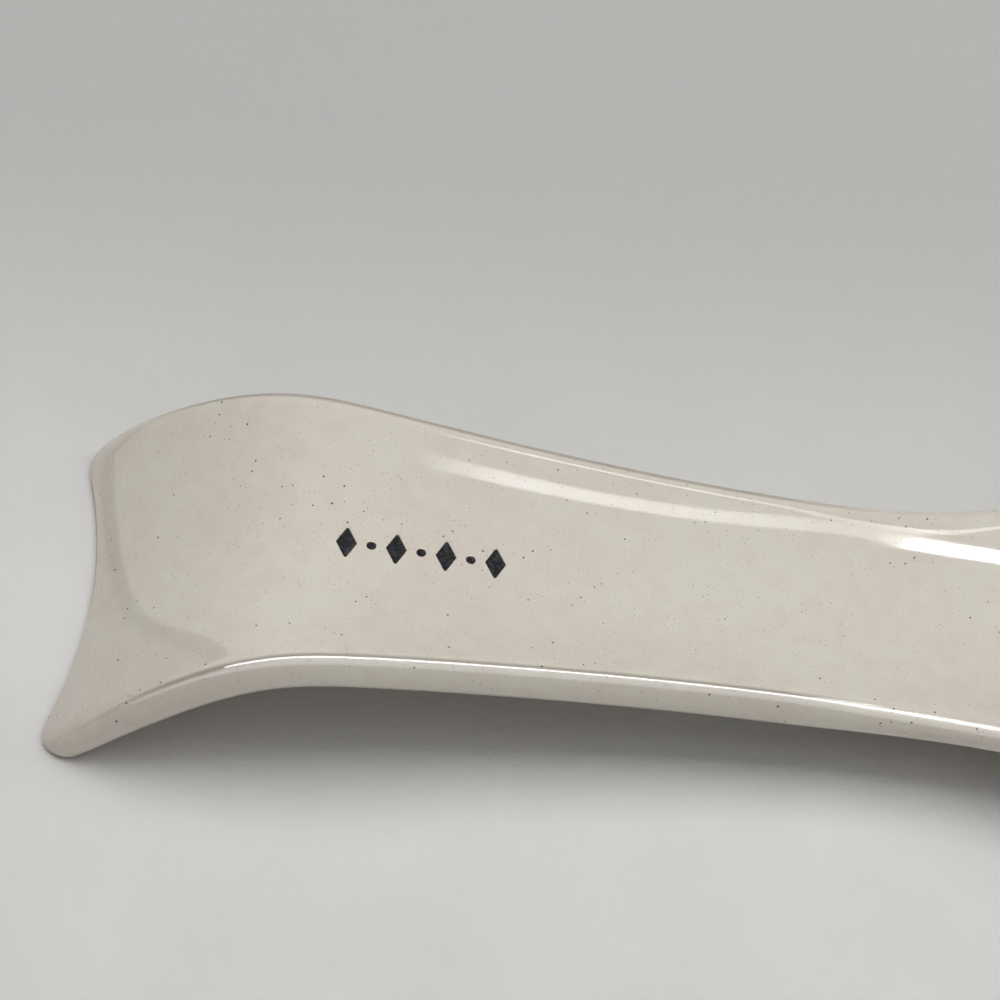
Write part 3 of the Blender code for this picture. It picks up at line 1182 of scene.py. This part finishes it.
@dataclass
class Foot:
    """The turned foot ring and the slip that lutes it under the dish.

    Attributes:
        width: Width of the ring.
        round_off: Radius of the ring's worn edges.
        groove: Depth of the turning lines on its walls.
        grooves: Count of the turning lines.
        groove_steps: Points down the wall for each turning line.
        edge_steps: Points on each worn edge.
        cove: How far the slip spreads where it meets the dish.
        cove_steps: Points on each side of the slip.
        lap: How far the slip laps what it joins.
        steps: Segments round the ring.
    """

    width: float = 0.0050
    round_off: float = 0.0008
    groove: float = 0.00006
    grooves: int = 3
    groove_steps: int = 4
    edge_steps: int = 6
    cove: float = 0.0007
    cove_steps: int = 7
    lap: float = 0.00005
    steps: int = 144

    def build(self) -> Iterator[Object]:
        """Builds and dresses the foot.

        Yields:
            Each piece in turn.
        """
        low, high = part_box("foot_ring")
        radius = (high.x - low.x) / 2
        centre = Vector(((low.x + high.x) / 2, 0, 0))
        ring = self.turned("foot_ring_turned", self.ring_profile(radius, high.z), centre)
        yield dressed("foot_ring_turned", ring, BARE_STONEWARE, "foot_ring")
        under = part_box("dish")[0].z
        slip = self.turned("foot_slip_cove", self.slip_profile(radius, high.z, under), centre)
        yield dressed("foot_slip_cove", slip, FIRED_SLIP, "foot_slip")

    def ring_profile(self, radius: float, top: float) -> list[tuple[float, float]]:
        """Draws the ring's section, down its outer wall and up its inner one.

        Args:
            radius: Outer radius of the ring.
            top: Height of the ring.

        Returns:
            Radius and height of each point.
        """
        drop = np.linspace(top, self.round_off, self.groove_steps * self.grooves + 1)
        ripple = self.groove * np.sin(np.linspace(0, self.grooves * math.pi, len(drop))) ** 2
        turn = np.linspace(0, math.pi / 2, self.edge_steps)[1:]
        outer = [(radius - dent, height) for dent, height in zip(ripple, drop)]
        outer += [
            (radius - self.round_off * (1 - math.cos(angle)), self.round_off * (1 - math.sin(angle)))
            for angle in turn
        ]
        return self.both_walls(outer, radius)

    def slip_profile(self, radius: float, bottom: float, top: float) -> list[tuple[float, float]]:
        """Draws the slip's section, a cove on both sides that widens up to the dish.

        Args:
            radius: Outer radius of the ring below.
            bottom: Height of the ring.
            top: Height of the dish's base.

        Returns:
            Radius and height of each point.
        """
        shares = np.linspace(1, 0, self.cove_steps)
        heights = bottom - self.lap + (top - bottom + 2 * self.lap) * shares
        outer = [(radius + self.cove * share**3, height) for share, height in zip(shares, heights)]
        return self.both_walls(outer, radius)

    def both_walls(self, outer: list[tuple[float, float]], radius: float) -> list[tuple[float, float]]:
        """Adds the inner wall to a section: its outer wall, mirrored about the middle of the ring."""
        middle = radius - self.width / 2
        return outer + [(2 * middle - far, height) for far, height in reversed(outer)]

    def turned(self, name: str, profile: Sequence[tuple[float, float]], centre: Vector) -> Mesh:
        """Turns a section about the dish's axis.

        Args:
            name: Name of the mesh.
            profile: Radius and height of each point of the section.
            centre: Point on the axis.

        Returns:
            The ring.
        """
        rings = []
        for step in range(self.steps):
            angle = 2 * math.pi * step / self.steps
            out = Vector((math.cos(angle), math.sin(angle), 0))
            rings.append([centre + out * far + UP * height for far, height in profile])
        return lofted(name, rings, closed=True)


class MarkShape(Enum):
    """Shapes of the stamps that the row is pressed with."""

    LOZENGE = "lozenge"
    DOT = "dot"


@dataclass(frozen=True)
class Mark:
    """One stamped mark.

    Attributes:
        node: CAD node of the mark.
        shape: Stamp that pressed it.
        place: Matrix that sets it on the glaze, with Z along the normal.
    """

    node: str
    shape: MarkShape
    place: Matrix


@dataclass
class StampedRow:
    """The row of marks pressed into the handle and filled with black underglaze.

    Attributes:
        form: Outer form of the glazed piece.
        half_width: Half width of a lozenge.
        half_height: Half height of a lozenge.
        soft_corner: Radius of a lozenge's corners.
        dot_radius: Radius of a dot.
        corner_steps: Points on each rounded corner.
        dot_steps: Points round a dot.
        lap: How far the black laps the glaze round it.
        shoulder: How far the glaze rounds over at a mark's edge.
        shoulder_steps: Points over that rounding.
        recess: How far the black lies below the glaze at its edge.
        dish: How much further it lies at its middle.
        inlay_shares: Sizes of the rings that the black's face is skinned over, as shares of its outline.
        glaze: Thickness of the glaze.
    """

    form: SlabForm
    half_width: float = 0.0016
    half_height: float = 0.0028
    soft_corner: float = 0.00025
    dot_radius: float = 0.00075
    corner_steps: int = 7
    dot_steps: int = 32
    lap: float = 0.00003
    shoulder: float = 0.00018
    shoulder_steps: int = 5
    recess: float = 0.00010
    dish: float = 0.00008
    inlay_shares: tuple[float, ...] = (1.0, 0.92, 0.75, 0.5, 0.25, 0.08)
    glaze: float = GLAZE_THICKNESS

    def marks(self) -> list[Mark]:
        """Sets each mark on the glaze over its CAD node.

        Returns:
            The marks along the handle.
        """
        skin = self.form.mesh()
        tree = BVHTree.FromPolygons(
            [vertex.co.copy() for vertex in skin.vertices], [face.vertices[:] for face in skin.polygons]
        )
        halfway = self.dot_radius + self.half_height
        made = []
        for node in sorted(name for name in frame["nodes"] if name.startswith("stamp_mark_")):
            low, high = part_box(node)
            shape = MarkShape.LOZENGE if high.y - low.y > halfway else MarkShape.DOT
            above = Vector(((low.x + high.x) / 2, (low.y + high.y) / 2, 2 * self.form.crest_height))
            point, normal, _, _ = tree.ray_cast(above, -UP)
            along = Vector((0, 1, 0)).cross(normal).normalized()
            turn = Matrix((along, normal.cross(along), normal)).transposed().to_4x4()
            made.append(Mark(node, shape, Matrix.Translation(point) @ turn))
        return made

    def outline(self, shape: MarkShape, grow: float) -> list[Vector]:
        """Draws a mark's outline.

        Args:
            shape: Stamp that pressed it.
            grow: How far the outline stands out all round.

        Returns:
            Its points in turn.
        """
        if shape is MarkShape.DOT:
            turns = np.linspace(0, 2 * math.pi, self.dot_steps, endpoint=False)
            radius = self.dot_radius + grow
            return [Vector((radius * math.cos(turn), radius * math.sin(turn), 0)) for turn in turns]
        wide = self.half_width - self.soft_corner
        tall = self.half_height - self.soft_corner
        radius = self.soft_corner + grow
        slope = math.atan2(wide, tall)
        points = []
        for quarter in range(4):
            tip = Vector((wide, 0, 0) if quarter % 2 == 0 else (0, tall, 0)) * (1 if quarter < 2 else -1)
            spread = slope if quarter % 2 == 0 else math.pi / 2 - slope
            middle = quarter * math.pi / 2
            for turn in np.linspace(middle - spread, middle + spread, self.corner_steps):
                points.append(tip + radius * Vector((math.cos(turn), math.sin(turn), 0)))
        return points

    def ring(self, mark: Mark, grow: float, height: float, share: float = 1.0) -> list[Vector]:
        """Sets a mark's outline at a height along the normal of the glaze.

        Args:
            mark: Mark that is drawn.
            grow: How far the outline stands out all round.
            height: Height above the glaze.
            share: Size of the ring as a share of the outline.

        Returns:
            Points of the ring, in the row frame.
        """
        return [mark.place @ (point * share + UP * height) for point in self.outline(mark.shape, grow)]

    def pockets(self, marks: Sequence[Mark]) -> Collection:
        """Builds the cutters that open the glaze, flared at the top to round its edge over.

        Args:
            marks: The marks along the handle.

        Returns:
            Collection of the cutters.
        """
        cutters = bpy.data.collections.new("pockets")
        bpy.context.scene.collection.children.link(cutters)
        flare = [
            (self.shoulder * (1 - math.sin(turn)), -self.shoulder * (1 - math.cos(turn)))
            for turn in np.linspace(0, math.pi / 2, self.shoulder_steps)
        ]
        profile = [(self.shoulder, self.glaze), *flare, (0.0, -2 * self.glaze)]
        for number, mark in enumerate(marks, start=1):
            rings = [self.ring(mark, grow, height) for grow, height in profile]
            mesh = lofted(f"pocket_{number}", rings)
            cutters.objects.link(bpy.data.objects.new(mesh.name, mesh))
        return cutters

    def build(self, marks: Sequence[Mark]) -> Iterator[Object]:
        """Builds and dresses the black inlay of each mark.

        Args:
            marks: The marks along the handle.

        Yields:
            Each inlay in turn.
        """
        for mark in marks:
            rings = [self.ring(mark, self.lap, -self.glaze)]
            for share in self.inlay_shares:
                height = -self.recess - self.dish * (1 - share**4)
                rings.append(self.ring(mark, self.lap, height, share))
            name = f"{mark.node}_inlay"
            yield dressed(name, lofted(name, rings), BLACK_INLAY, mark.node)


class BendMap:
    """How sharply a skin bends at each of its points, in 1/mm, above 0 where it is convex.

    Attributes:
        tree: Points of the skin.
        bends: Bend at each point.
    """

    def __init__(self, skin: Mesh) -> None:
        """Measures the bend along the edges that meet at each point, and keeps their mean.

        Args:
            skin: Closed mesh.
        """
        count = len(skin.vertices)
        points = np.array([vertex.co for vertex in skin.vertices])
        normals = np.array([vertex.normal for vertex in skin.vertices])
        ends = np.array([edge.vertices[:] for edge in skin.edges])
        total, shares = np.zeros(count), np.zeros(count)
        for here, there in (ends.T, ends.T[::-1]):
            step = points[here] - points[there]
            bend = 2 * np.sum(step * normals[here], axis=1) / np.sum(step**2, axis=1)
            np.add.at(total, here, bend * MM)
            np.add.at(shares, here, 1)
        self.bends = total / shares
        self.tree = KDTree(count)
        for index, point in enumerate(points):
            self.tree.insert(point, index)
        self.tree.balance()

    def at(self, point: Vector) -> float:
        """Gives the bend at the point of the skin that lies nearest."""
        return self.bends[self.tree.find(point)[1]]


@dataclass
class GlazeCoat:
    """The coat of glaze over the clay, open at the toe, at the foot and at each stamped mark.

    Attributes:
        form: Outer form of the glazed piece.
        thickness: Thickness of the coat.
        toe_line: Height of the glaze line over the table, at the toe.
        foot_line: Height of the glaze line over the dish's base.
        BEND: Name of the attribute that holds the form's bend.
    """

    BEND: ClassVar[str] = "bend"

    form: SlabForm
    thickness: float = GLAZE_THICKNESS
    toe_line: float = 0.0008
    foot_line: float = 0.0004

    def build(self, pockets: Collection) -> Iterator[Object]:
        """Builds and dresses the coat.

        Args:
            pockets: Cutters that open it at the marks, which are removed afterwards.

        Yields:
            The coat.
        """
        skin = self.form.mesh()
        bends = BendMap(skin)
        self.open_at_glaze_lines(skin)
        work = linked("coat", skin)
        thicken(work, self.thickness)
        stamp = work.modifiers.new("stamp", "BOOLEAN")
        stamp.operation = "DIFFERENCE"
        stamp.solver = "EXACT"
        stamp.operand_type = "COLLECTION"
        stamp.collection = pockets
        coat = baked(work)
        for cutter in tuple(pockets.objects):
            bpy.data.objects.remove(cutter)
        bpy.data.collections.remove(pockets)
        self.mark_bend(coat, bends)
        yield dressed("glaze_skin", coat, CREAM_GLAZE, "glaze_coat")

    def open_at_glaze_lines(self, skin: Mesh) -> None:
        """Wipes the glaze off below its lines on the toe and under the dish.

        Args:
            skin: Closed skin that is opened in place.
        """
        foot_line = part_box("dish")[0].z + self.foot_line
        middle = self.form.toe_x + self.form.neck_x
        work = bmesh.new()
        work.from_mesh(skin)
        for height, on_dish in ((self.toe_line, False), (foot_line, True)):
            faces = [face for face in work.faces if (face.calc_center_median().x > middle) == on_dish]
            edges = {edge for face in faces for edge in face.edges}
            verts = {vert for face in faces for vert in face.verts}
            bmesh.ops.bisect_plane(
                work,
                geom=[*verts, *edges, *faces],
                plane_co=UP * height,
                plane_no=-UP,
                clear_outer=True,
            )
        work.to_mesh(skin)
        work.free()

    def mark_bend(self, coat: Mesh, bends: BendMap) -> None:
        """Writes the bend of the form under each point of the coat, for the glaze to thin and pool by.

        Args:
            coat: Mesh of the coat.
            bends: Bend of the form.
        """
        values = np.array([bends.at(vertex.co) for vertex in coat.vertices], np.float32)
        coat.attributes.new(self.BEND, "FLOAT", "POINT").data.foreach_set("value", values)


# Studio


class LampRole(Enum):
    """What a lamp does: it lights the surfaces, or it only shows as a shine in the glaze."""

    SHADES = "shades"
    SHINES = "shines"


@dataclass(frozen=True)
class Lamp:
    """A flat lamp that hangs level over the table.

    Attributes:
        name: Name of the lamp.
        role: What it does.
        from_x: Place of its left end.
        to_x: Place of its right end.
        from_y: Place of its near side.
        to_y: Place of its far side.
        height: Height over the table.
        glow: Radiance of its face, where 1 is white.
        fade: Places along it, as shares of its length, where its face would be dark and where it is full.
    """

    name: str
    role: LampRole
    from_x: float
    to_x: float
    from_y: float
    to_y: float
    height: float
    glow: float
    fade: tuple[float, float] | None = None

    def hang(self) -> None:
        """Hangs the lamp over the table."""
        length, width = self.to_x - self.from_x, self.to_y - self.from_y
        light = bpy.data.lights.new(self.name, "AREA")
        light.shape = "RECTANGLE"
        light.size = length
        light.size_y = width
        light.energy = self.glow * math.pi * length * width
        if self.fade:
            self.fade_out(light)
        made = bpy.data.objects.new(self.name, light)
        made.location = ((self.from_x + self.to_x) / 2, (self.from_y + self.to_y) / 2, self.height)
        made.visible_diffuse = self.role is LampRole.SHADES
        made.visible_glossy = self.role is LampRole.SHINES
        bpy.context.scene.collection.objects.link(made)

    def fade_out(self, light: AreaLight) -> None:
        """Fades the lamp's face out towards one of its ends.

        Args:
            light: Data of the lamp.
        """
        light.use_nodes = True
        tree = light.node_tree
        place = add_node(tree, "NewGeometry").outputs["Parametric"]
        along = add_node(tree, "SeparateXYZ", {"Vector": place})
        dark, full = self.fade
        level = add_node(
            tree,
            "MapRange",
            {"Value": along.outputs["X"], "From Min": dark, "From Max": full},
            interpolation_type="SMOOTHSTEP",
        )
        feed(tree, tree.nodes["Emission"], {"Strength": level.outputs["Result"]})


@dataclass
class Studio:
    """The plain pale floor, the soft light and the camera.

    Attributes:
        form: Outer form of the piece, from whose toe the camera is set out.
        floor_side: Side of the floor.
        room_dim: Radiance of the room behind the piece and overhead.
        room_bright: Radiance of the room in front of the piece, at eye level.
        lamps: Lamps over the table.
        aim: Point on the table that the camera looks at, from the toe.
        azimuth: How far the camera stands round to the left.
        elevation: How far the camera looks down.
        roll: How far the camera leans.
        distance: Distance of the camera from the point.
        focal_length: Focal length over the width of the picture.
    """

    form: SlabForm
    floor_side: float = 6.0
    room_dim: float = 0.05
    room_bright: float = 0.50
    lamps: tuple[Lamp, ...] = (
        Lamp("soft_bank", LampRole.SHADES, -0.90, 4.0, -0.14, 0.72, 1.1, 3.1),
        Lamp("side_sheet", LampRole.SHINES, -14.0, 0.50, -0.02, 12.0, 1.05, 0.8, (1.0, 0.90)),
        Lamp("front_sheet", LampRole.SHINES, -3.0, 3.0, -3.0, -0.80, 1.05, 2.2),
        Lamp("soft_strip_left", LampRole.SHINES, 0.05, 0.13, 0.025, 0.080, 1.0, 6.4, (0.0, 1.0)),
        Lamp("soft_strip_right", LampRole.SHINES, 0.13, 0.31, 0.025, 0.080, 1.0, 6.4, (2.0, 0.0)),
        Lamp("key_panel", LampRole.SHINES, 0.092, 0.130, 0.0185, 0.040, 0.30, 36.0),
        Lamp("front_strip_far", LampRole.SHINES, -0.75, 0.90, -0.54, -0.08, 1.0, 18.0),
        Lamp("front_strip_near", LampRole.SHINES, -0.75, 0.90, -0.76, -0.66, 1.0, 9.0),
    )
    aim: tuple[float, float] = (0.071108, 0.028187)
    azimuth: float = math.radians(-4.855)
    elevation: float = math.radians(49.961)
    roll: float = math.radians(9.012)
    distance: float = 0.4356
    focal_length: float = 2.6

    def build(self) -> None:
        """Builds the floor, the lights, the surroundings and the camera."""
        self.lay_floor()
        for lamp in self.lamps:
            lamp.hang()
        self.light_surroundings()
        self.set_camera()
        bpy.context.scene.view_settings.view_transform = "Standard"

    def lay_floor(self) -> None:
        """Lays the plaster top that the piece stands on."""
        work = bmesh.new()
        bmesh.ops.create_grid(work, x_segments=1, y_segments=1, size=self.floor_side / 2)
        mesh = bpy.data.meshes.new("floor")
        work.to_mesh(mesh)
        work.free()
        mesh.materials.append(PALE_PLASTER.material())
        linked("floor", mesh)

    def light_surroundings(self) -> None:
        """Lights the room softly from the front, and leaves it dim behind and overhead."""
        world = bpy.data.worlds.new("soft_room")
        world.use_nodes = True
        bpy.context.scene.world = world
        tree = world.node_tree
        place = add_node(tree, "TexCoord").outputs["Generated"]
        parts = add_node(tree, "SeparateXYZ", {"Vector": place})
        light = add_node(
            tree,
            "MapRange",
            {
                "Value": parts.outputs["Y"],
                "From Min": 0.0,
                "From Max": -1.0,
                "To Min": self.room_dim,
                "To Max": self.room_bright,
            },
        )
        inputs = {"Color": linear("#ffffff"), "Strength": light.outputs["Result"]}
        feed(tree, tree.nodes["Background"], inputs)

    def set_camera(self) -> None:
        """Sets the camera where the picture was taken from."""
        level = math.cos(self.elevation)
        back = Vector(
            (math.sin(self.azimuth) * level, -math.cos(self.azimuth) * level, math.sin(self.elevation))
        )
        right = Vector((math.cos(self.azimuth), math.sin(self.azimuth), 0))
        upward = back.cross(right)
        lean = Matrix.Rotation(self.roll, 3, "Z")
        turn = Matrix((right, upward, back)).transposed() @ lean
        lens = bpy.data.cameras.new("camera")
        lens.lens = self.focal_length * lens.sensor_width
        camera = bpy.data.objects.new("camera", lens)
        target = Vector((self.form.toe_x + self.aim[0], self.aim[1], 0))
        camera.matrix_world = Matrix.Translation(target + back * self.distance) @ turn.to_4x4()
        bpy.context.scene.collection.objects.link(camera)
        bpy.context.scene.camera = camera


def main() -> None:
    """Builds the pieces and the studio in order, and reports each piece."""
    logging.basicConfig(level=logging.INFO, format="%(name)s: %(message)s")
    low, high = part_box("foot_ring")
    plan = SlabForm(toe_x=0.0)
    form = SlabForm(toe_x=(low.x + high.x) / 2 - plan.dish_x)
    row = StampedRow(form)
    marks = row.marks()
    for pieces in (
        ClayBody(form).build(),
        Foot().build(),
        GlazeCoat(form).build(row.pockets(marks)),
        row.build(marks),
    ):
        for piece in pieces:
            LOG.info("%s: %d faces", piece.name, len(piece.data.polygons))
    Studio(form).build()


if __name__ == "__main__":
    main()
